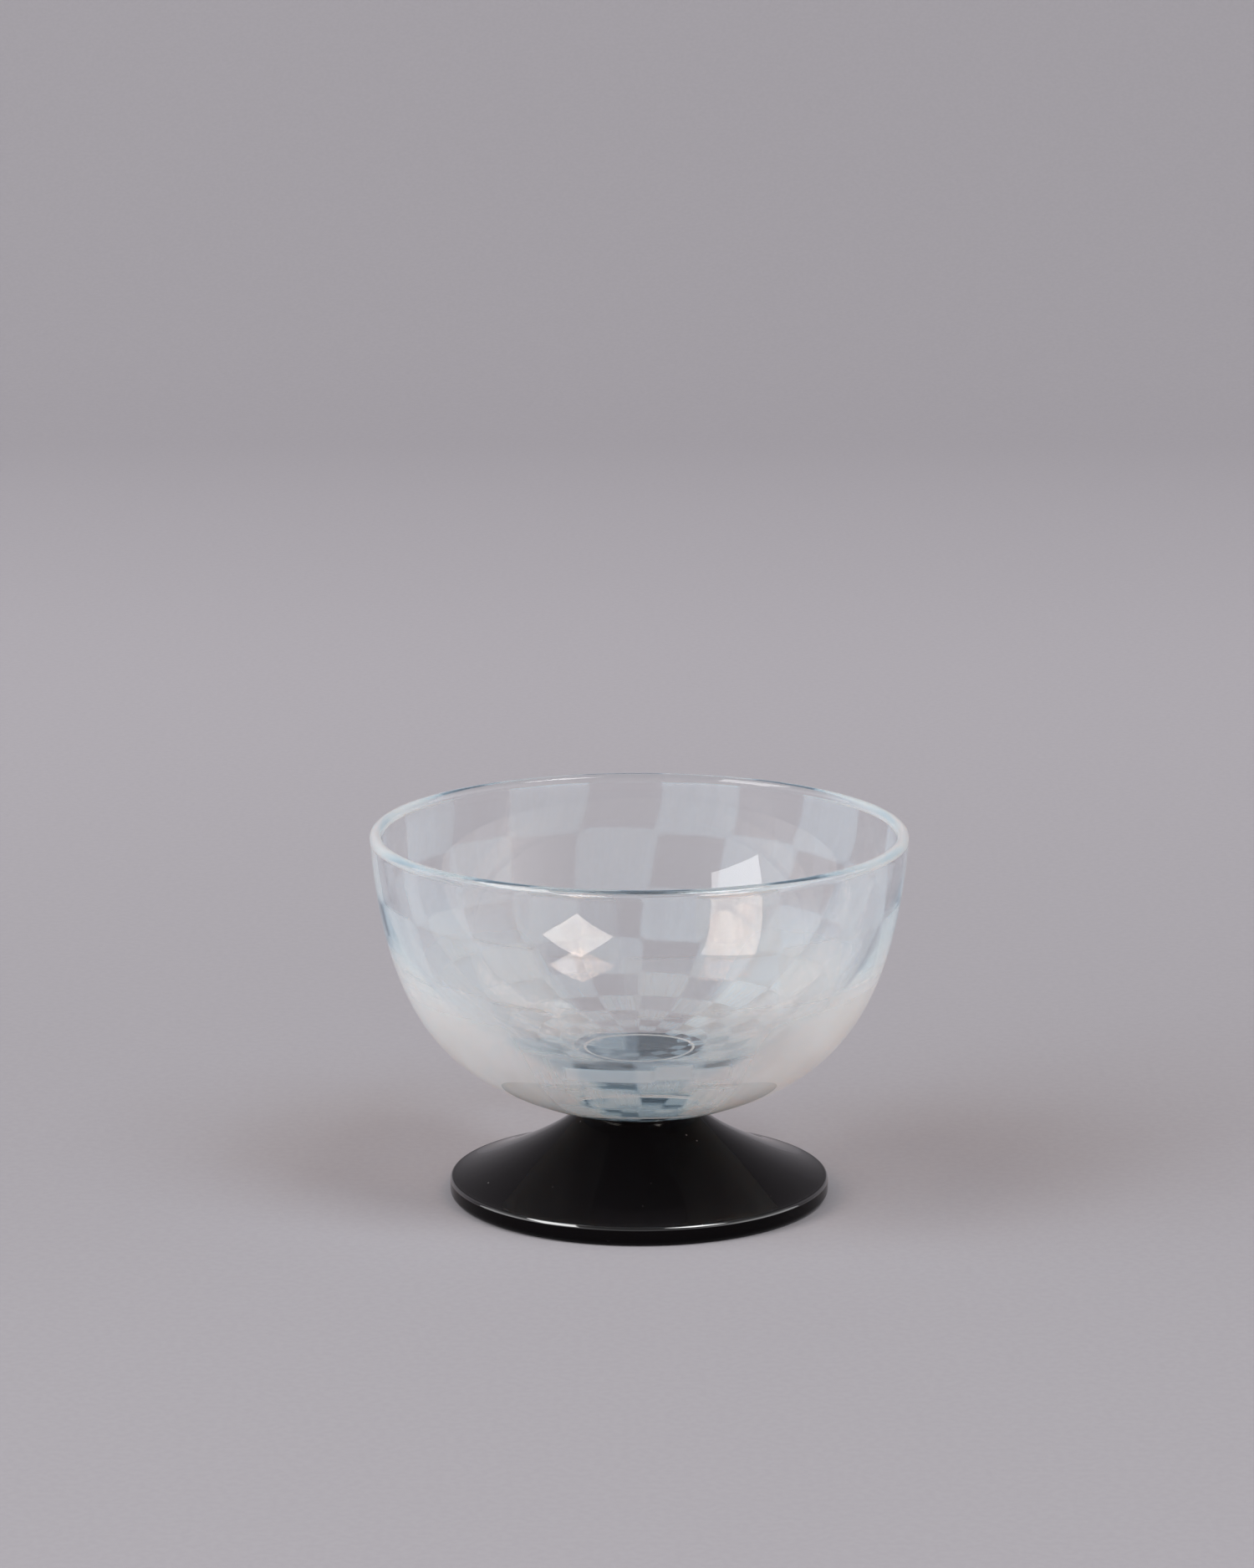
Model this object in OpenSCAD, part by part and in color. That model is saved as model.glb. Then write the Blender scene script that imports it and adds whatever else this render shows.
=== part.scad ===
// Footed dessert glass: a clear blown bowl with a check of opal glass set in its inner face,
// fused hot to a flared foot of black glass. Millimetres, +Z up, origin at the centre of the
// ring that the foot stands on. The front is towards -Y.

/* [Bowl] */
// Diameter over the rim
rim_d = 100; // [88:1:115]
// Height of the rim above the table
height = 70; // [64:1:80]
// Thickness of the wall at the fire-polished rim
rim_wall = 2.2; // [1.6:0.1:3.2]
// How far the belly runs out from the neck before it turns up
belly_run = 23.8; // [20:0.1:30]
// How far the underside climbs over that run
belly_rise = 5.4; // [3:0.1:8]
// How far the upper wall leans in below the rim
wall_lean = 2.9; // [1:0.1:5]
// How far below the rim the wall starts to turn in
wall_drop = 36.5; // [30:0.5:40]

/* [Hollow] */
// Thickness of the clear glass between the hollow and the foot
floor_t = 6.2; // [4:0.1:12]
// How far the floor runs out from the axis before it turns up
floor_run = 34.3; // [26:0.1:38]
// How far the inner face leans in below the rim
hollow_lean = 1.9; // [0.5:0.1:4]
// How far below the rim the inner face starts to turn in
hollow_drop = 27.6; // [20:0.1:32]

/* [Foot] */
// Diameter over the foot's edge
foot_d = 71; // [58:1:85]
// Height of the neck, where the foot is fused to the bowl
neck_h = 16.9; // [14:0.1:21]
// Diameter of the fused disc at the neck
neck_d = 22; // [18:0.5:26]
// Thickness of the foot at its edge
edge_t = 3.8; // [3:0.1:5]
// Radius of the edge's upper corner
edge_top_r = 0.8; // [0.4:0.1:1.2]
// Radius of the edge's lower corner
edge_low_r = 1.4; // [0.6:0.1:1.6]
// How far the flare runs in from the edge before it steepens
flare_run = 4.7; // [3:0.1:12]
// How far the flare climbs over that run
flare_rise = 1.1; // [0.5:0.1:4]
// How far the neck's slope reaches out
neck_run = 3.4; // [1:0.1:10]
// How far the neck's slope falls over that reach
neck_fall = 4.9; // [3:0.1:7]
// Width of the ring that the foot stands on
stand_w = 3; // [1.5:0.1:5]
// Height of the shallow arch under the foot
arch_h = 4.5; // [2:0.1:7]

/* [Checks] */
// Columns round the bowl, half of them opal in each row
check_columns = 20; // [16:2:24]
// Height of a check over its width
check_aspect = 0.78; // [0.5:0.01:0.9]
// Share of the first row that the sheared rim has left
check_first = 0.9; // [0.5:0.05:1]
// Depth of the opal glass in the wall
check_t = 0.4; // [0.2:0.05:0.6]
// Clear seam between neighbouring checks
check_seam = 0.3; // [0.2:0.05:0.8]
// Clear band between the rim's round and the first row
check_margin = 0.3; // [0.3:0.1:4]
// Angle from the front to the first check's edge
check_turn = 12.5; // [0:0.5:18]
// How far the columns have turned by the last row, against the first
check_twist = 5.5; // [-20:0.5:20]
// Radius of the plain disc that the rows close round
check_end_r = 9; // [7:0.5:14]

/* [Hidden] */
$fn = 128;

// Steps along each long curve of a profile, and round each small corner
curve_steps = 26;
corner_steps = 6;
// How far a pocket's cut stands out of the glass into the hollow
cut_over = 0.5;
// Reach on each side over which the inner face's slope is taken
slope_reach = 0.1;
// How soon the columns' twist is used up on the way down: 1 is evenly over all the rows
twist_ease = 6;

rim_r = rim_d / 2;
neck_r = neck_d / 2;
foot_r = foot_d / 2;
round_r = rim_wall / 2;
round_z = height - round_r;
hollow_r = rim_r - rim_wall;
floor_z = neck_h + floor_t;

function bezier(p, t) = pow(1 - t, 3) * p[0] + 3 * t * pow(1 - t, 2) * p[1]
    + 3 * pow(t, 2) * (1 - t) * p[2] + pow(t, 3) * p[3];

function curve(p) = [for (i = [0:curve_steps]) bezier(p, i / curve_steps)];

function arc(centre, r, from, to) = [for (i = [0:corner_steps])
    centre + r * [cos(from + (to - from) * i / corner_steps), sin(from + (to - from) * i / corner_steps)]];

// Half profiles, as [radius, height]
belly = curve([
    [neck_r, neck_h],
    [neck_r + belly_run, neck_h + belly_rise],
    [rim_r - wall_lean, round_z - wall_drop],
    [rim_r, round_z]
]);
hollow = curve([
    [hollow_r, round_z],
    [hollow_r - hollow_lean, round_z - hollow_drop],
    [floor_run, floor_z],
    [0, floor_z]
]);
rim_round = arc([rim_r - round_r, round_z], round_r, 0, 180);
flare = curve([
    [foot_r - edge_top_r, edge_t],
    [foot_r - edge_top_r - flare_run, edge_t + flare_rise],
    [neck_r + neck_run, neck_h - neck_fall],
    [neck_r, neck_h]
]);

// Distance walked down the inner face from the rim to each point of its profile
hollow_walk = [for (i = 0, s = 0; i <= curve_steps;
    s = s + (i < curve_steps ? norm(hollow[i + 1] - hollow[i]) : 0), i = i + 1) s];
radius_table = [for (i = [0:curve_steps]) [hollow_walk[i], hollow[i].x]];
height_table = [for (i = [0:curve_steps]) [hollow_walk[i], hollow[i].y]];

function face_point(s) = [lookup(s, radius_table), lookup(s, height_table)];

// Unit normal of the inner face, pointing into the glass
function face_normal(s) = let(d = face_point(s + slope_reach) - face_point(s - slope_reach))
    [-d.y, d.x] / norm(d);

// A check is as tall as its width there asks for, so the rows close up towards the floor's centre
function check_height(s) = check_aspect * 2 * PI * face_point(s).x / check_columns;

first_edge = check_margin + check_first * check_height(check_margin);
row_edges = concat([check_margin],
    [for (s = first_edge; face_point(s).x > check_end_r; s = s + check_height(s)) s]);
row_count = len(row_edges) - 1;

// The columns lean below the rim and hang straight towards the base, as the blown wall was turned
function row_turn(row) = check_turn + check_twist * (1 - pow(1 - row / row_count, twist_ease));

// Section of one row, from over the inner face to its depth in the glass
function band(from, to, over) = let(
    walk = concat([from], [for (s = hollow_walk) if (s > from && s < to) s], [to])
) concat(
    [for (s = walk) face_point(s) - over * face_normal(s)],
    [for (i = [len(walk) - 1:-1:0]) face_point(walk[i]) + check_t * face_normal(walk[i])]
);

// Every opal check of the pattern, one ring of them for each row
module checks(over = 0) {
    pitch = 360 / check_columns;
    for (row = [0:row_count - 1]) {
        from = row_edges[row] + check_seam / 2;
        to = row_edges[row + 1] - check_seam / 2;
        seam_angle = asin(check_seam / face_point(to).x);
        for (column = [row % 2:2:check_columns - 1]) {
            rotate([0, 0, row_turn(row) - 90 + column * pitch + seam_angle / 2])
                rotate_extrude(angle = pitch - seam_angle)
                    polygon(band(from, to, over));
        }
    }
}

module bowl() {
    color([0.85, 0.9, 0.92, 0.4])
        difference() {
            rotate_extrude()
                polygon(concat([[0, neck_h]], belly, rim_round, hollow));
            checks(cut_over);
        }
}

module opal_checks() {
    color([0.74, 0.79, 0.87])
        checks();
}

module foot() {
    stand_r = foot_r - edge_low_r;
    arch_r = stand_r - stand_w;
    // Radius of the circle whose cap is the arch
    arch_round = (pow(arch_r, 2) + pow(arch_h, 2)) / (2 * arch_h);
    color([0.06, 0.05, 0.06])
        rotate_extrude()
            polygon(concat(
                arc([foot_r - edge_low_r, edge_low_r], edge_low_r, -90, 0),
                arc([foot_r - edge_top_r, edge_t - edge_top_r], edge_top_r, 0, 90),
                flare,
                [[0, neck_h]],
                [for (i = [0:curve_steps]) let(a = asin(arch_r / arch_round) * i / curve_steps)
                    [arch_round * sin(a), arch_h - arch_round * (1 - cos(a))]]
            ));
}

bowl();
opal_checks();
foot();
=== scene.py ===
import bisect
import math

import bmesh
import bpy
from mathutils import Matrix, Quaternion, Vector, noise


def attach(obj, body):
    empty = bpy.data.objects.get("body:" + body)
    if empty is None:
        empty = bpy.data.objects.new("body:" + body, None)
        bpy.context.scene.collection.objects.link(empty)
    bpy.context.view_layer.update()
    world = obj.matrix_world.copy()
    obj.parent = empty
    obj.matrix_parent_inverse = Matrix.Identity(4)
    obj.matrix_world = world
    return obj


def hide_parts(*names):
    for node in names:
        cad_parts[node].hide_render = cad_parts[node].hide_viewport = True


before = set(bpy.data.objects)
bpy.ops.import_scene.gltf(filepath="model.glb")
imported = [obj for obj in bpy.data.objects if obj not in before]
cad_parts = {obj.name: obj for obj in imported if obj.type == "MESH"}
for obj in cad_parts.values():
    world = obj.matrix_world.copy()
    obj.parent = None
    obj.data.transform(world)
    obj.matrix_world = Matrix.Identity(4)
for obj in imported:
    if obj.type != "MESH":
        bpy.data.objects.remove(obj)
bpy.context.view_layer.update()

# A millimetre in metres, and millimetres in a centimetre
MM = 0.001
CM = 10

# Sizes of the glass in millimetres, the same as in the part's source
RIM_R = 50
HEIGHT = 70
RIM_WALL = 2.2
BELLY_RUN = 23.8
BELLY_RISE = 5.4
WALL_LEAN = 2.9
WALL_DROP = 36.5
FLOOR_T = 6.2
FLOOR_RUN = 34.3
HOLLOW_LEAN = 1.9
HOLLOW_DROP = 27.6
FOOT_R = 35.5
NECK_H = 16.9
NECK_R = 11
EDGE_T = 3.8
EDGE_TOP_R = 0.8
EDGE_LOW_R = 1.4
FLARE_RUN = 4.7
FLARE_RISE = 1.1
NECK_RUN = 3.4
NECK_FALL = 4.9
STAND_W = 3
ARCH_H = 4.5

# The check pattern: columns round the bowl, and rows whose height follows their width
COLUMNS = 20
CHECK_ASPECT = 0.78
CHECK_FIRST = 0.9
CHECK_MARGIN = 0.3
CHECK_TURN = 12.5
CHECK_TWIST = 5.5
TWIST_EASE = 6
CHECK_END_R = 9
# The rows hang lower on one side of the blown wall, by this much and towards this angle
ROW_DIP = 1.3
DIP_TOWARDS = 45

# The checks: depth under the inner face, how much deeper every other row lies, thickness, and how
# far their soft edges reach over the pattern's own size
TILE_DEPTH = 0.25
TILE_STAGGER = 0.25
TILE_T = 0.15
TILE_SPREAD = 1.14
# How much the checks differ in milk, and the size and closeness of the waves in their sides
TILE_DIFFERENCE = 0.35
WAVE_SIZE = 0.07
WAVE_SCALE = 0.8
# The noise's own seed, without which its vectors start from the clock, and where each check's waves
# are read in it: steps per row and column, and a fixed place
NOISE_SEED = 1
SEED_ROW = 3.7
SEED_COLUMN = 5.3
SEED_UP = 1.9
# Depth of the veil under the inner face and of the haze under the outer one, and their thickness
VEIL_DEPTH = 0.9
HAZE_DEPTH = 0.7
VEIL_T = 0.1
# The haze's first place on the outer curve, its share of the curve, how closely its stations crowd
# towards the base, and the step over which the curve's slope is taken
HAZE_FROM = 0.04
HAZE_SHARE = 0.94
HAZE_CROWDING = 1.3
SLOPE_STEP = 0.005
# How far the foot's disc stands in the bowl's underside, so that the two read as fused
FUSED = 0.1
# A ring of dense white milk where the bowl was sealed on, standing in for the bright line of light
# that the seal's fillet catches: a painted highlight. Its ring's radius, its height over the seal, and
# the radius of its own section
SEAL_R = 11.4
SEAL_UP = 0.5
SEAL_LINE_R = 0.3
# Radius of the milky core in the rim's round
CORE_R = 0.7

# Milk of the checks: under the rim, what is added over these rows, and the share that the last
# rows lose in front, over these rows and these angles from the front
TILE_MILK = 0.23
TILE_MILK_ADDED = 0.1
TILE_MILK_ROWS = (2.0, 4.5)
THIN_SHARE = 0.5
THIN_ROWS = (4.6, 5.4)
THIN_ANGLES = (28, 42)
# Milk of the veil: everywhere, in the plain disc, and in the disc's left side, which begins over
# these millimetres to the left and fades over these towards the front
VEIL_MILK = 0.02
DISC_R = 10.2
DISC_MILK = 0.03
DISC_LEFT_MILK = 0.3
DISC_LEFT = (2.0, 3.4)
DISC_BACK = (-6, -3)
# Milk of the haze: everywhere, and at the two sides of the base, which deepens below a height over
# this many millimetres, and begins over these sines of the angle from the front
HAZE_MILK = 0.012
SIDE_MILK = 0.75
SIDE_TOP = 52
SIDE_DEEPENING = 22
SIDE_SINES = (0.42, 0.58)
# The last rows as they show through the front of the base, with clear windows between them: each
# field's left, right, bottom and top in millimetres, its milk, and how soft its edges are
FIELDS = ((-13.5, 2.7, 31.5, 34.4), (2.7, 9.9, 32.0, 35.3), (9.9, 16.5, 31.3, 34.2))
FIELD_MILK = 1.0
FIELD_SOFT_ACROSS = 0.4
FIELD_SOFT_UP = 0.15
# Milk of the painted highlight round the seal, and of the rim's core: in front, and added at its two
# sides, which begin over these sines of the angle from the front
SEAL_HIGHLIGHT_MILK = 3.0
RIM_MILK = 0.03
RIM_SIDE_MILK = 0.8
RIM_SINES = (0.68, 0.96)

# The opal glass: how much of red, green and blue light it scatters against blue, how white it is,
# the steepest look that deepens it, and how square a check's soft edge is
MILK_SHARES = (0.5, 0.76, 1.0)
MILK_WHITE = 0.95
STEEPEST = 0.12
CORNER_POWER = 9.0
# What the shader's divisions never go below
LEAST_CLEAR = 0.01
LEAST_OPACITY = 0.0001
# The glossy corner of the foot's edge begins and ends over these heights in metres
GLOSS_FROM = (0.00305, 0.00315)
GLOSS_TO = (0.0036, 0.00374)

# The sweep in metres: its width, front end, back wall, bend between them, and top
SWEEP_WIDTH = 8.0
SWEEP_FRONT = -4.0
SWEEP_BACK = 1.5
SWEEP_BEND = 0.6
SWEEP_TOP = 2.4
BEND_STEP = 6
# How bright the camera sees the room past the sweep's end
ROOM_SEEN = 0.4
# Both lamps' distance from the glass in metres
LAMP_DISTANCE = 2.2

# Fineness of the meshes
SPIN_STEPS = 192
CURVE_STEPS = 90
CORNER_STEPS = 10
TILE_CELLS = (14, 10)
HAZE_STEPS = 300
HAZE_STATIONS = 150
MERGE = 1e-6

ROUND_Z = HEIGHT - RIM_WALL / 2
RIM_CENTRE = (RIM_R - RIM_WALL / 2, ROUND_Z)
HOLLOW_R = RIM_R - RIM_WALL
FLOOR_Z = NECK_H + FLOOR_T

# The photograph's camera, fitted to the outline of the rim, bowl and foot
CAMERA_AT = (0, -1.0366, 0.3061)
CAMERA_PITCH = 12.38
CAMERA_YAW = 0.126
PHOTO_SIZE = (1500, 1876)
FOCAL_PIXELS = 6859
SENSOR_MM = 36


def bezier(points, t):
    """Point at t on the cubic curve of four [radius, height] handles."""
    weights = ((1 - t) ** 3, 3 * t * (1 - t) ** 2, 3 * t ** 2 * (1 - t), t ** 3)
    return tuple(sum(w * p[axis] for w, p in zip(weights, points)) for axis in (0, 1))


def curve(*handles):
    """Points along the cubic curve of four handles."""
    return [bezier(handles, i / CURVE_STEPS) for i in range(CURVE_STEPS + 1)]


def arc(centre, radius, start, end):
    """Round corner about centre, from one angle in degrees to another."""
    angles = [math.radians(start + (end - start) * i / CORNER_STEPS) for i in range(CORNER_STEPS + 1)]
    return [(centre[0] + radius * math.cos(a), centre[1] + radius * math.sin(a)) for a in angles]


def chained(*parts):
    """Joins stretches of a profile, and keeps the points where they meet only once."""
    points = []
    for part in parts:
        for point in part:
            if not points or math.dist(points[-1], point) > MERGE:
                points.append(point)
    return points


def finished(bm, name, material):
    """Turns a bmesh into a smooth piece whose place is in its mesh."""
    for face in bm.faces:
        face.smooth = True
    mesh = bpy.data.meshes.new(name)
    bm.to_mesh(mesh)
    bm.free()
    piece = bpy.data.objects.new(name, mesh)
    bpy.context.scene.collection.objects.link(piece)
    mesh.materials.append(material)
    return piece


def spun(profile, walked=(), ring=False, steps=SPIN_STEPS):
    """Bmesh of a half profile in millimetres, spun once about the glass's axis.

    walked gives each point's distance along its face, which the spin carries round with it.
    A ring's profile is a closed one that stands clear of the axis.
    """
    bm = bmesh.new()
    walk_layer = bm.verts.layers.float.new("walk") if walked else None
    chain = [bm.verts.new((r * MM, 0, z * MM)) for r, z in profile]
    for vert, walk in zip(chain, walked):
        vert[walk_layer] = walk
    links = [bm.edges.new(pair) for pair in zip(chain, chain[1:] + chain[:1] if ring else chain[1:])]
    bmesh.ops.spin(bm, geom=chain + links, cent=(0, 0, 0), axis=(0, 0, 1), angle=math.tau,
                   steps=steps, use_merge=True)
    bmesh.ops.remove_doubles(bm, verts=bm.verts, dist=MERGE)
    bmesh.ops.recalc_face_normals(bm, faces=bm.faces)
    return bm


# Half profiles of the glass
belly_handles = ((NECK_R, NECK_H), (NECK_R + BELLY_RUN, NECK_H + BELLY_RISE),
                 (RIM_R - WALL_LEAN, ROUND_Z - WALL_DROP), (RIM_R, ROUND_Z))
belly = curve(*belly_handles)
hollow = curve((HOLLOW_R, ROUND_Z), (HOLLOW_R - HOLLOW_LEAN, ROUND_Z - HOLLOW_DROP),
               (FLOOR_RUN, FLOOR_Z), (0, FLOOR_Z))
rim_round = arc(RIM_CENTRE, RIM_WALL / 2, 0, 180)
flare = curve((FOOT_R - EDGE_TOP_R, EDGE_T), (FOOT_R - EDGE_TOP_R - FLARE_RUN, EDGE_T + FLARE_RISE),
              (NECK_R + NECK_RUN, NECK_H - NECK_FALL), (NECK_R, NECK_H))


def belly_radius(height):
    """Radius of the outer face at a height over the table."""
    for (r0, z0), (r1, z1) in zip(belly, belly[1:]):
        if z0 <= height <= z1:
            return r0 + (r1 - r0) * (height - z0) / (z1 - z0)
    return NECK_R if height < NECK_H else RIM_R


# Distance walked down the inner face to each point of its profile
walks = [0]
for here, there in zip(hollow, hollow[1:]):
    walks.append(walks[-1] + math.dist(here, there))


def face_at(walk):
    """(radius, height) on the inner face, and its unit normal into the glass."""
    i = min(max(bisect.bisect_right(walks, walk) - 1, 0), len(walks) - 2)
    share = (walk - walks[i]) / (walks[i + 1] - walks[i])
    (r0, z0), (r1, z1) = hollow[i], hollow[i + 1]
    run = math.hypot(r1 - r0, z1 - z0)
    return (r0 + (r1 - r0) * share, z0 + (z1 - z0) * share), ((z0 - z1) / run, (r1 - r0) / run)


def angle_from_front(place):
    """Angle in degrees at which a point lies round the glass."""
    return math.degrees(math.atan2(place.y, place.x)) + 90


def in_glass(walk, angle, depth):
    """Point at a depth under the inner face, at an angle in degrees from the front."""
    (r, z), (nr, nz) = face_at(walk)
    radius = max(r + depth * nr, 0) * MM
    turn = math.radians(angle - 90)
    return Vector((radius * math.cos(turn), radius * math.sin(turn), (z + depth * nz) * MM))


def check_height(walk):
    """A check is as tall as its width there asks for, so the rows close up towards the floor's centre."""
    return CHECK_ASPECT * math.tau * face_at(walk)[0][0] / COLUMNS


# The first row's own top edge was sheared off with the rim
FULL_TOP = CHECK_MARGIN - (1 - CHECK_FIRST) * check_height(CHECK_MARGIN)
row_edges = [FULL_TOP, CHECK_MARGIN + CHECK_FIRST * check_height(CHECK_MARGIN)]
while face_at(row_edges[-1])[0][0] > CHECK_END_R:
    row_edges.append(row_edges[-1] + check_height(row_edges[-1]))
row_count = len(row_edges) - 1


def dip(angle):
    """How far the rows hang below their mean place, at an angle in degrees from the front."""
    return ROW_DIP * math.cos(math.radians(angle - DIP_TOWARDS))


def row_at(walk):
    """Row number, with its fraction, at a distance walked down the inner face."""
    i = min(max(bisect.bisect_right(row_edges, walk) - 1, 0), row_count - 1)
    return i + (walk - row_edges[i]) / (row_edges[i + 1] - row_edges[i])


def turned(walk):
    """How far the columns have turned there: they lean below the rim and hang straight in the base."""
    share = min(max((row_at(walk) - 0.5) / row_count, 0), 1)
    return CHECK_TURN + CHECK_TWIST * (1 - (1 - share) ** TWIST_EASE)


# Node helpers
def new_material(name):
    material = bpy.data.materials.new(name)
    material.use_nodes = True
    material.node_tree.nodes.clear()
    return material, material.node_tree


def fill_inputs(tree, node, inputs):
    """Fills a node's inputs with values or links."""
    for key, value in inputs.items():
        if isinstance(value, bpy.types.NodeSocket):
            tree.links.new(value, node.inputs[key])
        else:
            node.inputs[key].default_value = value


def add_node(tree, kind, inputs=None, **settings):
    """Adds a node, sets its properties and fills its inputs."""
    node = tree.nodes.new(kind)
    for key, value in settings.items():
        setattr(node, key, value)
    fill_inputs(tree, node, inputs or {})
    return node


def maths(tree, operation, *values):
    return add_node(tree, "ShaderNodeMath", dict(enumerate(values)), operation=operation).outputs[0]


def smooth_range(tree, value, start, end, low=0.0, high=1.0):
    node = add_node(tree, "ShaderNodeMapRange",
                    {"Value": value, "From Min": start, "From Max": end, "To Min": low, "To Max": high},
                    interpolation_type="SMOOTHSTEP")
    return node.outputs["Result"]


def noise_value(tree, vector, scale, detail=2.0, roughness=0.5):
    node = add_node(tree, "ShaderNodeTexNoise",
                    {"Vector": vector, "Scale": scale, "Detail": detail, "Roughness": roughness})
    return node.outputs["Fac"]


def mixed_colour(tree, share, first, second):
    """Colour between two, by the second one's share."""
    node = add_node(tree, "ShaderNodeMix", {"Factor": share, "A": first, "B": second}, data_type="RGBA")
    return node.outputs["Result"]


def clear_glass_material():
    """Clear blown glass: faint waves in the surface, and soft light passes it without bending."""
    material, tree = new_material("clear_glass")
    place = add_node(tree, "ShaderNodeTexCoord").outputs["Object"]
    waves = noise_value(tree, place, 42.0, detail=1.0)
    bump = add_node(tree, "ShaderNodeBump", {"Height": waves, "Strength": 0.06, "Distance": 0.0006})
    glass = add_node(tree, "ShaderNodeBsdfPrincipled", {
        "Base Color": (1, 1, 1, 1), "Roughness": 0.0, "IOR": 1.5, "Transmission Weight": 1.0,
        "Normal": bump.outputs[0]})
    passing = add_node(tree, "ShaderNodeBsdfTransparent", {"Color": (0.97, 0.967, 0.962, 1)})
    path = add_node(tree, "ShaderNodeLightPath").outputs
    soft = maths(tree, "MAXIMUM", path["Is Shadow Ray"], path["Is Diffuse Ray"])
    mix = add_node(tree, "ShaderNodeMixShader", {0: soft, 1: glass.outputs[0], 2: passing.outputs[0]})
    add_node(tree, "ShaderNodeOutputMaterial", {"Surface": mix.outputs[0]})
    return material


def named_group(name, inputs, outputs):
    """Empty node group with named sockets, given as name: kind."""
    group = bpy.data.node_groups.new(name, "ShaderNodeTree")
    for direction, sockets in (("INPUT", inputs), ("OUTPUT", outputs)):
        for socket, kind in sockets.items():
            group.interface.new_socket(socket, in_out=direction, socket_type="NodeSocket" + kind)
    return group, group.nodes.new("NodeGroupInput").outputs, group.nodes.new("NodeGroupOutput").inputs


def opal_milk_group():
    """What a layer of opal glass lets through and what it scatters.

    Blue light is scattered most and red least, so a thin layer is bluish over black and a deep one
    is white. The layer is deeper to a slanting look, and Facing says how slanting it is.
    """
    group, given, result = named_group(
        "opal_milk", {"Milk": "Float", "Facing": "Float"},
        {"Opacity": "Float", "Passing": "Color", "Scattered": "Color"})
    straight = maths(group, "MAXIMUM", maths(group, "SUBTRACT", 1.0, given["Facing"]), STEEPEST)
    depth = maths(group, "DIVIDE", given["Milk"], straight)
    unscattered = maths(group, "EXPONENT", maths(group, "MULTIPLY", depth, -1.0))
    clear = maths(group, "MAXIMUM", unscattered, LEAST_CLEAR)
    opacity = maths(group, "MAXIMUM", maths(group, "SUBTRACT", 1.0, clear), LEAST_OPACITY)
    passing, scattered = {}, {}
    for channel, share in zip(("Red", "Green", "Blue"), MILK_SHARES):
        through = maths(group, "POWER", clear, share)
        passing[channel] = maths(group, "DIVIDE", through, clear)
        lost = maths(group, "DIVIDE", maths(group, "SUBTRACT", 1.0, through), opacity)
        scattered[channel] = maths(group, "MULTIPLY", lost, MILK_WHITE)
    group.links.new(opacity, result["Opacity"])
    for name, channels in (("Passing", passing), ("Scattered", scattered)):
        colour = add_node(group, "ShaderNodeCombineColor", channels).outputs[0]
        group.links.new(colour, result[name])
    return group


def wall_streaks_group():
    """Streaks drawn down the wall, read at the piece's own place on it in millimetres."""
    group, given, result = named_group(
        "wall_streaks", {"Low": "Float", "High": "Float"}, {"Value": "Float"})
    wall = add_node(group, "ShaderNodeAttribute", attribute_name="wall").outputs["Vector"]
    stretched = add_node(group, "ShaderNodeMapping", {"Vector": wall, "Scale": (1.0, 1.0, 0.15)})
    streaks = noise_value(group, stretched.outputs[0], 0.35, detail=3.0, roughness=0.6)
    value = smooth_range(group, streaks, 0.3, 0.7, given["Low"], given["High"])
    group.links.new(value, result["Value"])
    return group


def use_group(tree, group, inputs):
    """Places a shared node group in a material and gives back its outputs."""
    node = tree.nodes.new("ShaderNodeGroup")
    node.node_tree = group
    fill_inputs(tree, node, inputs)
    return node.outputs


def milk_surface(tree, milk):
    """Gives a material its opal shader: part of the light passes, the rest is scattered both ways."""
    facing = add_node(tree, "ShaderNodeLayerWeight", {"Blend": 0.5}).outputs["Facing"]
    layer = use_group(tree, opal_milk, {"Milk": milk, "Facing": facing})
    through = add_node(tree, "ShaderNodeBsdfTransparent", {"Color": layer["Passing"]})
    lit = add_node(tree, "ShaderNodeBsdfDiffuse", {"Color": layer["Scattered"]})
    glow = add_node(tree, "ShaderNodeBsdfTranslucent", {"Color": layer["Scattered"]})
    scatter = add_node(tree, "ShaderNodeMixShader", {0: 0.5, 1: lit.outputs[0], 2: glow.outputs[0]})
    mix = add_node(tree, "ShaderNodeMixShader", {
        0: layer["Opacity"], 1: through.outputs[0], 2: scatter.outputs[0]})
    add_node(tree, "ShaderNodeOutputMaterial", {"Surface": mix.outputs[0]})


def opal_material():
    """The opal checks: soft at their edges, streaked, and denser towards the base."""
    material, tree = new_material("opal_glass")
    check = add_node(tree, "ShaderNodeAttribute", attribute_name="check").outputs["Vector"]
    across = add_node(tree, "ShaderNodeSeparateXYZ", {0: check})
    from_middle = [maths(tree, "ABSOLUTE", across.outputs[axis]) for axis in (0, 1)]
    sides = [maths(tree, "POWER", distance, CORNER_POWER) for distance in from_middle]
    edge = maths(tree, "POWER", maths(tree, "ADD", *sides), 1 / CORNER_POWER)
    mask = smooth_range(tree, edge, 0.84, 1.0, 1.0, 0.0)
    share = add_node(tree, "ShaderNodeAttribute", attribute_name="milk").outputs["Fac"]
    streaks = use_group(tree, wall_streaks, {"Low": 0.8, "High": 1.15})["Value"]
    milk_surface(tree, maths(tree, "MULTIPLY", maths(tree, "MULTIPLY", share, mask), streaks))
    return material


def veil_material():
    """The thin milk between the checks, which gathers in the thick base."""
    material, tree = new_material("opal_veil")
    share = add_node(tree, "ShaderNodeAttribute", attribute_name="milk").outputs["Fac"]
    streaks = use_group(tree, wall_streaks, {"Low": 0.85, "High": 1.12})["Value"]
    milk_surface(tree, maths(tree, "MULTIPLY", share, streaks))
    return material


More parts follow.
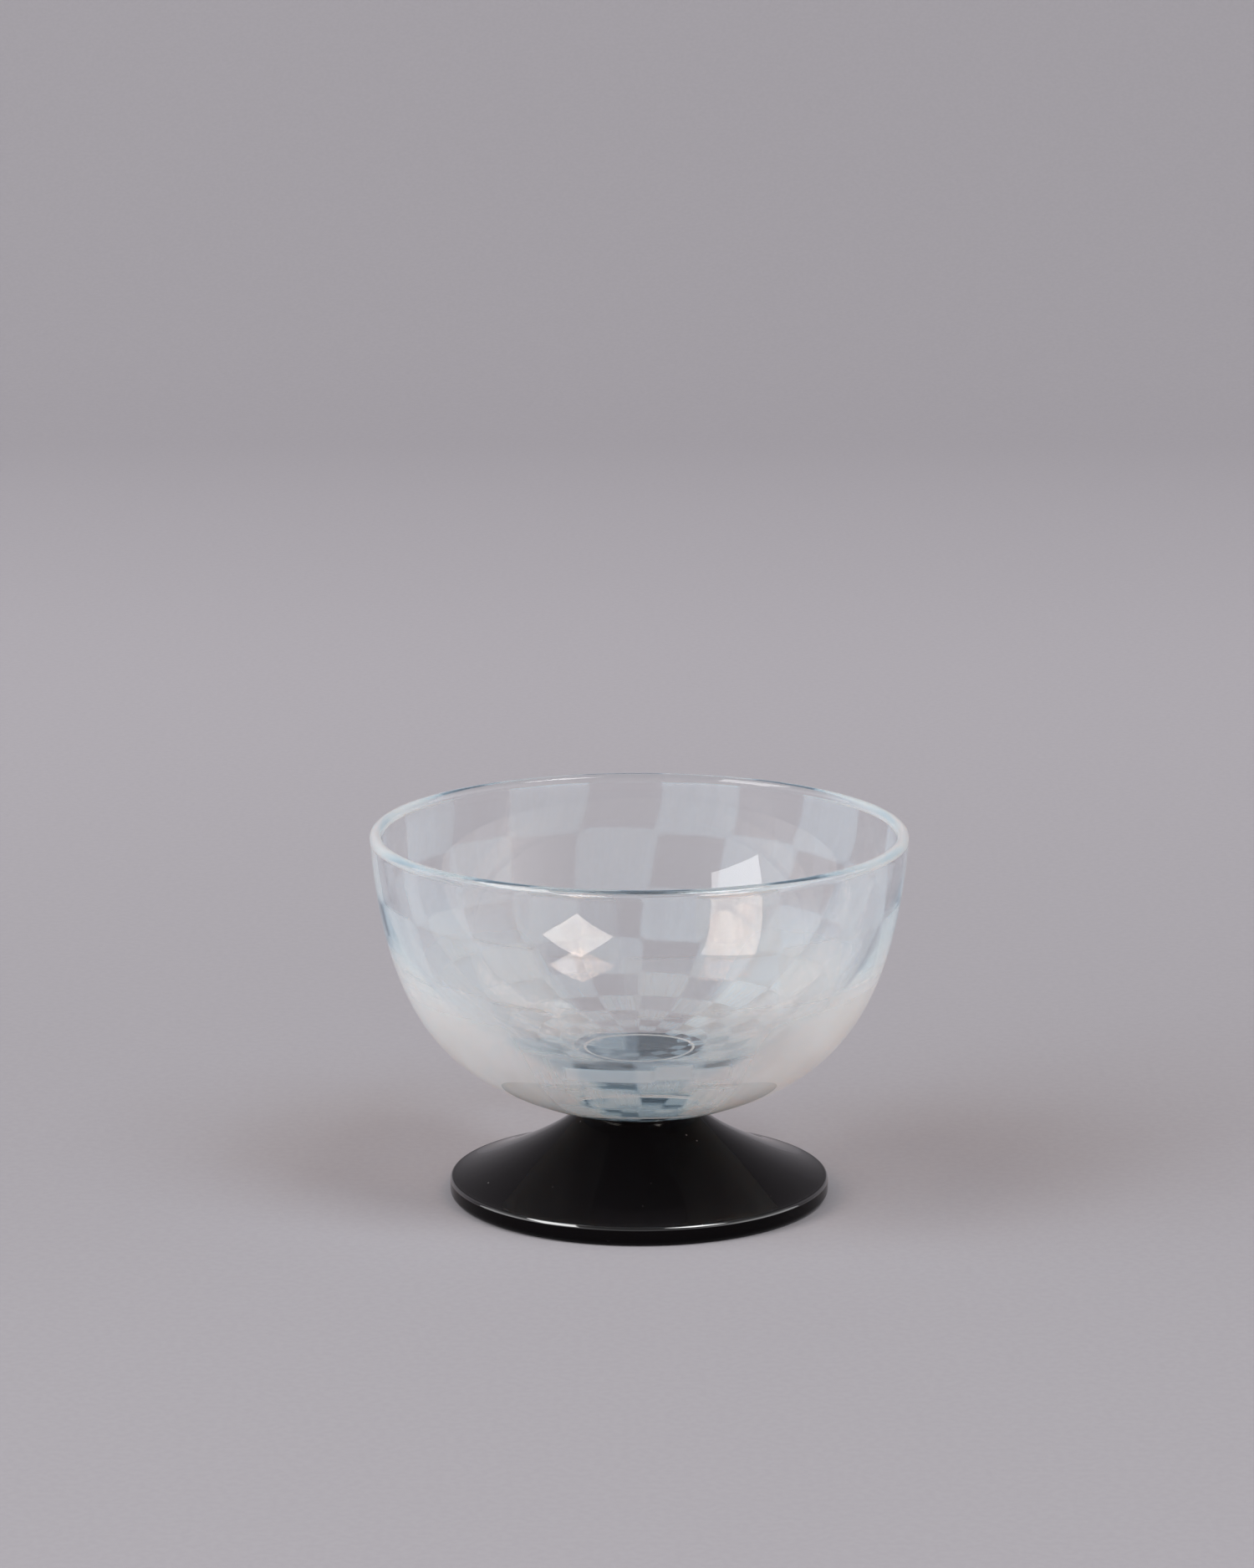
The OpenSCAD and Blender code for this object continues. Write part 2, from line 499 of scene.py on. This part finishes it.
def black_glass_material():
    """Black glass with a faint purple-brown tone, and a little dust on its upper face."""
    material, tree = new_material("black_glass")
    place = add_node(tree, "ShaderNodeTexCoord").outputs["Object"]
    specks = add_node(tree, "ShaderNodeTexVoronoi", {"Vector": place, "Scale": 420.0}, feature="F1")
    speck = smooth_range(tree, specks.outputs["Distance"], 0.05, 0.09, 1.0, 0.0)
    patch = smooth_range(tree, noise_value(tree, place, 160.0, detail=2.0), 0.56, 0.62)
    dust = maths(tree, "MULTIPLY", speck, patch)
    tone = mixed_colour(tree, dust, (0.0022, 0.0016, 0.0019, 1), (0.12, 0.11, 0.11, 1))
    waves = noise_value(tree, place, 60.0, detail=1.0)
    bump = add_node(tree, "ShaderNodeBump", {"Height": waves, "Strength": 0.1, "Distance": 0.0005})
    # The edge's fire-polished corner is the glossiest place
    up = add_node(tree, "ShaderNodeSeparateXYZ", {0: place}).outputs["Z"]
    corner = maths(tree, "MULTIPLY", smooth_range(tree, up, *GLOSS_FROM),
                   smooth_range(tree, up, *GLOSS_TO, 1.0, 0.0))
    glass = add_node(tree, "ShaderNodeBsdfPrincipled", {
        "Base Color": tone, "Roughness": maths(tree, "MULTIPLY_ADD", dust, 0.4, 0.03),
        "IOR": 1.17, "Coat Weight": corner, "Coat IOR": 2.1, "Coat Roughness": 0.03,
        "Normal": bump.outputs[0]})
    add_node(tree, "ShaderNodeOutputMaterial", {"Surface": glass.outputs[0]})
    return material


def eased(value, start, end):
    """0 before start, 1 after end, and smooth between."""
    share = min(max((value - start) / (end - start), 0), 1)
    return share ** 2 * (3 - 2 * share)


# The milk functions give the depth of the milk in one face of a layer
def tile_milk(walk, angle):
    row = row_at(walk)
    turn = abs((angle + 180) % 360 - 180)
    thin = eased(row, *THIN_ROWS) * (1 - eased(turn, *THIN_ANGLES))
    return (TILE_MILK + TILE_MILK_ADDED * eased(row, *TILE_MILK_ROWS)) * (1 - THIN_SHARE * thin)


def veil_milk(walk, angle):
    """The veil is even, but for the plain disc in the floor, whose left side is opal too."""
    radius = face_at(walk)[0][0]
    across = radius * math.sin(math.radians(angle))
    back = -radius * math.cos(math.radians(angle))
    in_disc = eased(DISC_R - radius, 0, 1)
    at_left = eased(-across, *DISC_LEFT) * eased(back, *DISC_BACK)
    return VEIL_MILK + in_disc * (DISC_MILK + DISC_LEFT_MILK * at_left)


def in_field(across, height):
    """1 inside the fields of the last rows, and 0 in the windows between them."""
    share = 0
    for left, right, bottom, top in FIELDS:
        share = max(share, min(
            eased(across, left - FIELD_SOFT_ACROSS, left + FIELD_SOFT_ACROSS),
            1 - eased(across, right - FIELD_SOFT_ACROSS, right + FIELD_SOFT_ACROSS),
            eased(height, bottom - FIELD_SOFT_UP, bottom + FIELD_SOFT_UP),
            1 - eased(height, top - FIELD_SOFT_UP, top + FIELD_SOFT_UP)))
    return share


def haze_milk(height, angle):
    """Milk near the outer face of the base: dense on its two sides, and in fields in front."""
    turn = math.radians(angle)
    low = eased(SIDE_TOP - height, 0, SIDE_DEEPENING)
    beside = eased(abs(math.sin(turn)), *SIDE_SINES)
    field = in_field(belly_radius(height) * math.sin(turn), height) if math.cos(turn) > 0 else 0
    return HAZE_MILK + low * SIDE_MILK * beside + FIELD_MILK * field * (1 - beside)


def rim_milk(angle):
    """The rim is milky on its two sides and nearly clear in front."""
    return RIM_MILK + RIM_SIDE_MILK * eased(abs(math.sin(math.radians(angle))), *RIM_SINES)


def make_bowl():
    bm = spun(chained([(0, NECK_H)], belly, rim_round, hollow))
    return finished(bm, "bowl_glass", clear_glass_material())


def make_foot():
    """The flared foot, with a shallow arch under it and its disc fused into the bowl's underside."""
    stand_r = FOOT_R - EDGE_LOW_R
    arch_r = stand_r - STAND_W
    arch_round = (arch_r ** 2 + ARCH_H ** 2) / (2 * ARCH_H)
    half = math.asin(arch_r / arch_round)
    turns = [half * i / CURVE_STEPS for i in range(CURVE_STEPS + 1)]
    arch = [(arch_round * math.sin(a), ARCH_H - arch_round * (1 - math.cos(a))) for a in turns]
    profile = chained(
        arch,
        arc((stand_r, EDGE_LOW_R), EDGE_LOW_R, -90, 0),
        arc((FOOT_R - EDGE_TOP_R, EDGE_T - EDGE_TOP_R), EDGE_TOP_R, 0, 90),
        flare,
        [(NECK_R, NECK_H + FUSED), (0, NECK_H + FUSED)])
    return finished(spun(profile), "foot_glass", black_glass_material())


def place_on_wall(angle, walk):
    """A check's own place on the wall in millimetres, without a seam and without the columns' lean."""
    turn = math.radians(angle - turned(walk - dip(angle)))
    return Vector((RIM_R * math.cos(turn), RIM_R * math.sin(turn), walk))


def add_check(bm, row, column):
    """One opal check: a curved slab with slightly wavy sides, as tall as its row leaves it."""
    layers = bm.verts.layers
    check_layer, wall_layer = layers.float_vector["check"], layers.float_vector["wall"]
    milk_layer = layers.float["milk"]
    pitch = 360 / COLUMNS
    middle = (row_edges[row] + row_edges[row + 1]) / 2
    half = (row_edges[row + 1] - row_edges[row]) / 2
    depth = TILE_DEPTH + TILE_STAGGER * (row % 2)
    seed = Vector((row * SEED_ROW, column * SEED_COLUMN, SEED_UP))
    weight = 1 + TILE_DIFFERENCE * noise.noise(seed)
    made = bmesh.ops.create_grid(bm, x_segments=TILE_CELLS[0], y_segments=TILE_CELLS[1], size=1)
    for vert in made["verts"]:
        a, b = vert.co.x, vert.co.y
        wave = noise.noise_vector(seed + Vector((a, b, 0)) * WAVE_SCALE) * WAVE_SIZE
        angle = turned(middle) + (column + 0.5 + a * TILE_SPREAD / 2) * pitch
        top = max(middle - half * TILE_SPREAD + dip(angle), CHECK_MARGIN)
        bottom = min(middle + half * TILE_SPREAD + dip(angle), walks[-1])
        walk = top + (bottom - top) * (b + 1) / 2
        level = (walk - dip(angle) - middle) / (half * TILE_SPREAD)
        walk = min(max(walk + wave.y * half, CHECK_MARGIN), walks[-1])
        angle += turned(walk - dip(angle)) - turned(middle) + wave.x * pitch / 2
        vert.co = in_glass(walk, angle, depth)
        vert[check_layer] = (a, level, 0)
        vert[wall_layer] = place_on_wall(angle, walk)
        vert[milk_layer] = tile_milk(walk, angle) * weight
    faces = list({face for vert in made["verts"] for face in vert.link_faces})
    bmesh.ops.solidify(bm, geom=faces, thickness=TILE_T * MM)


def make_checks():
    noise.seed_set(NOISE_SEED)
    bm = bmesh.new()
    for name in ("check", "wall"):
        bm.verts.layers.float_vector.new(name)
    bm.verts.layers.float.new("milk")
    for row in range(row_count):
        for column in range(row % 2, COLUMNS, 2):
            add_check(bm, row, column)
    bmesh.ops.recalc_face_normals(bm, faces=bm.faces)
    return finished(bm, "opal_checks_soft", opal_material())


def make_layer(name, stations, place, milk_at, ring=False, steps=SPIN_STEPS):
    """A closed thin shell of milk inside the wall.

    place gives a point (radius, height) at a station and a depth, and milk_at the milk at a
    station and an angle. A ring stands clear of the axis, and its streaks follow its own place.
    """
    near = [place(station, 0) for station in stations]
    far = [place(station, VEIL_T) for station in stations]
    bm = spun(far[::-1] + near, walked=stations[::-1] + stations, ring=ring, steps=steps)
    bm.verts.layers.float_vector.new("wall")
    bm.verts.layers.float.new("milk")
    layers = bm.verts.layers
    wall_layer = layers.float_vector["wall"]
    walk_layer, milk_layer = layers.float["walk"], layers.float["milk"]
    for vert in bm.verts:
        walk = vert[walk_layer]
        angle = angle_from_front(vert.co)
        vert[wall_layer] = vert.co / MM / CM if ring else place_on_wall(angle, walk)
        vert[milk_layer] = milk_at(walk, angle)
    return finished(bm, name, opal_veil)


def make_veil():
    """Milk along the inner face, between the checks."""
    def place(walk, deeper):
        (r, z), (nr, nz) = face_at(walk)
        depth = VEIL_DEPTH + deeper
        return (max(r + depth * nr, 0) if walk < walks[-1] else 0, z + depth * nz)

    span = walks[-1] - CHECK_MARGIN
    stations = [CHECK_MARGIN + span * i / CURVE_STEPS for i in range(CURVE_STEPS)] + [walks[-1]]
    return make_layer("opal_veil", stations, place, veil_milk)


def make_haze():
    """Milk under the outer face of the thick base, which thins out up the wall."""
    def place(t, deeper):
        (r0, z0), (r, z), (r1, z1) = (
            bezier(belly_handles, t + step) for step in (-SLOPE_STEP, 0, SLOPE_STEP))
        run = math.hypot(r1 - r0, z1 - z0)
        depth = HAZE_DEPTH + deeper
        return (r - depth * (z1 - z0) / run, z + depth * (r1 - r0) / run)

    def milk_at(t, angle):
        return haze_milk(bezier(belly_handles, t)[1], angle)

    stations = [HAZE_FROM + HAZE_SHARE * (i / HAZE_STATIONS) ** HAZE_CROWDING
                for i in range(HAZE_STATIONS + 1)]
    return make_layer("opal_haze", stations, place, milk_at, ring=True, steps=HAZE_STEPS)


def make_ring(name, centre, radius, milk_at):
    """A round ring of milk inside the glass, with the milk given by the angle from the front."""
    steps = 2 * CORNER_STEPS
    turns = [math.tau * i / steps for i in range(steps)]
    profile = [(centre[0] + radius * math.cos(a), centre[1] + radius * math.sin(a)) for a in turns]
    bm = spun(profile, ring=True)
    bm.verts.layers.float_vector.new("wall")
    bm.verts.layers.float.new("milk")
    wall_layer, milk_layer = bm.verts.layers.float_vector["wall"], bm.verts.layers.float["milk"]
    for vert in bm.verts:
        vert[wall_layer] = vert.co / MM / CM
        vert[milk_layer] = milk_at(angle_from_front(vert.co))
    return finished(bm, name, opal_veil)


def sweep_material():
    """Pale paper with a fine grain. Its colour is made paler towards the back as painted light, where
    less lamp light falls, and dimmer where it turns up as painted shade.
    """
    material, tree = new_material("pale_sweep")
    place = add_node(tree, "ShaderNodeTexCoord").outputs["Object"]
    grain = smooth_range(tree, noise_value(tree, place, 700.0, detail=2.0), 0.3, 0.7)
    tone = mixed_colour(tree, grain, (0.385, 0.366, 0.39, 1), (0.398, 0.379, 0.403, 1))
    away = add_node(tree, "ShaderNodeSeparateXYZ", {0: place}).outputs["Y"]
    # Painted light and shade: the colour is paler towards the back, where the lamps' light falls off, and
    # dimmer up the backdrop
    painted_light_back = smooth_range(tree, away, 0.0, 0.6, 1.02, 1.29)
    painted_shade_up = smooth_range(tree, away, 0.7, 1.32, 1.0, 0.84)
    share = maths(tree, "MULTIPLY", painted_light_back, painted_shade_up)
    tone_with_painted_light = add_node(tree, "ShaderNodeVectorMath", {0: tone, "Scale": share}, operation="SCALE")
    paper = add_node(tree, "ShaderNodeBsdfDiffuse", {"Color": tone_with_painted_light.outputs[0]})
    add_node(tree, "ShaderNodeOutputMaterial", {"Surface": paper.outputs[0]})
    return material


def make_floor():
    """One seamless pale sweep: the floor runs up into the backdrop in a wide bend."""
    start = SWEEP_BACK - SWEEP_BEND
    turns = [math.radians(a) for a in range(BEND_STEP, 90 + 1, BEND_STEP)]
    profile = [(SWEEP_FRONT, 0), (start, 0)]
    profile += [(start + SWEEP_BEND * math.sin(a), SWEEP_BEND - SWEEP_BEND * math.cos(a)) for a in turns]
    profile.append((SWEEP_BACK, SWEEP_TOP))
    bm = bmesh.new()
    chain = [bm.verts.new((-SWEEP_WIDTH / 2, y, z)) for y, z in profile]
    links = [bm.edges.new(pair) for pair in zip(chain, chain[1:])]
    made = bmesh.ops.extrude_edge_only(bm, edges=links)
    moved = [item for item in made["geom"] if isinstance(item, bmesh.types.BMVert)]
    bmesh.ops.translate(bm, verts=moved, vec=(SWEEP_WIDTH, 0, 0))
    bmesh.ops.recalc_face_normals(bm, faces=bm.faces)
    return finished(bm, "floor_sweep", sweep_material())


def softbox(name, towards, size, roll, power):
    """Rectangular lamp in a direction from the glass, facing it, rolled by an angle in degrees."""
    lamp = bpy.data.lights.new(name, "AREA")
    lamp.shape = "RECTANGLE"
    lamp.size, lamp.size_y = size
    lamp.energy = power
    holder = bpy.data.objects.new(name, lamp)
    bpy.context.scene.collection.objects.link(holder)
    away = Vector(towards).normalized()
    holder.location = Vector((0, 0, HEIGHT / 2 * MM)) + away * LAMP_DISTANCE
    facing = (-away).to_track_quat("-Z", "Y") @ Quaternion((0, 0, 1), math.radians(roll))
    holder.rotation_euler = facing.to_euler()


def light_scene():
    """Soft studio light: a box high on the right, a tall one on the left, and a pale room."""
    world = bpy.data.worlds.new("pale_room")
    bpy.context.scene.world = world
    world.use_nodes = True
    tree = world.node_tree
    shade = tree.nodes["Background"]
    shade.inputs["Color"].default_value = (0.98, 0.98, 1.0, 1)
    # The room is pale round the sides and dim overhead and in front
    direction = add_node(tree, "ShaderNodeTexCoord").outputs["Generated"]
    towards = add_node(tree, "ShaderNodeSeparateXYZ", {0: direction}).outputs
    side = smooth_range(tree, towards["Z"], 0.1, 0.75, 1.6, 0.17)
    back = smooth_range(tree, towards["Y"], -0.95, -0.3, 0.25, 1.0)
    lit = maths(tree, "MULTIPLY", side, back)
    # Past the sweep's end, the camera sees one even grey
    seen = add_node(tree, "ShaderNodeLightPath").outputs["Is Camera Ray"]
    strength = add_node(tree, "ShaderNodeMix", {"Factor": seen, "A": lit, "B": ROOM_SEEN})
    tree.links.new(strength.outputs["Result"], shade.inputs["Strength"])
    softbox("box_right", towards=(0.444, -0.421, 0.791), size=(0.9, 0.86), roll=18, power=21.5)
    softbox("box_left", towards=(-0.696, -0.405, 0.597), size=(1.0, 1.95), roll=30, power=34.5)


def make_camera():
    lens = bpy.data.cameras.new("camera")
    lens.sensor_width = SENSOR_MM
    lens.lens = FOCAL_PIXELS / max(PHOTO_SIZE) * SENSOR_MM
    camera = bpy.data.objects.new("camera", lens)
    bpy.context.scene.collection.objects.link(camera)
    camera.location = CAMERA_AT
    camera.rotation_euler = (math.radians(90 - CAMERA_PITCH), 0, math.radians(CAMERA_YAW))
    bpy.context.scene.camera = camera


make_camera()
light_scene()
make_floor()

opal_milk = opal_milk_group()
wall_streaks = wall_streaks_group()
opal_veil = veil_material()

bowl = make_bowl()
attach(bowl, "root")
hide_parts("bowl")

foot = make_foot()
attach(foot, "root")
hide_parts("foot")

checks = make_checks()
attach(checks, "root")
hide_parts("opal_checks")

# Painted highlight: a ring of dense white milk stands for the light that the seal's fillet catches
seal_highlight = make_ring("painted_seal_highlight", (SEAL_R, NECK_H + SEAL_UP), SEAL_LINE_R, lambda angle: SEAL_HIGHLIGHT_MILK)
rim_core = make_ring("rim_core", RIM_CENTRE, CORE_R, rim_milk)
for piece in (make_veil(), make_haze(), seal_highlight, rim_core):
    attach(piece, "root")

# Milk, glass and glass again lie behind each other, so light is followed further than by default
cycles = bpy.context.scene.cycles
cycles.max_bounces = 14
cycles.transmission_bounces = 14
cycles.transparent_max_bounces = 32
bpy.context.scene.view_settings.view_transform = "Standard"
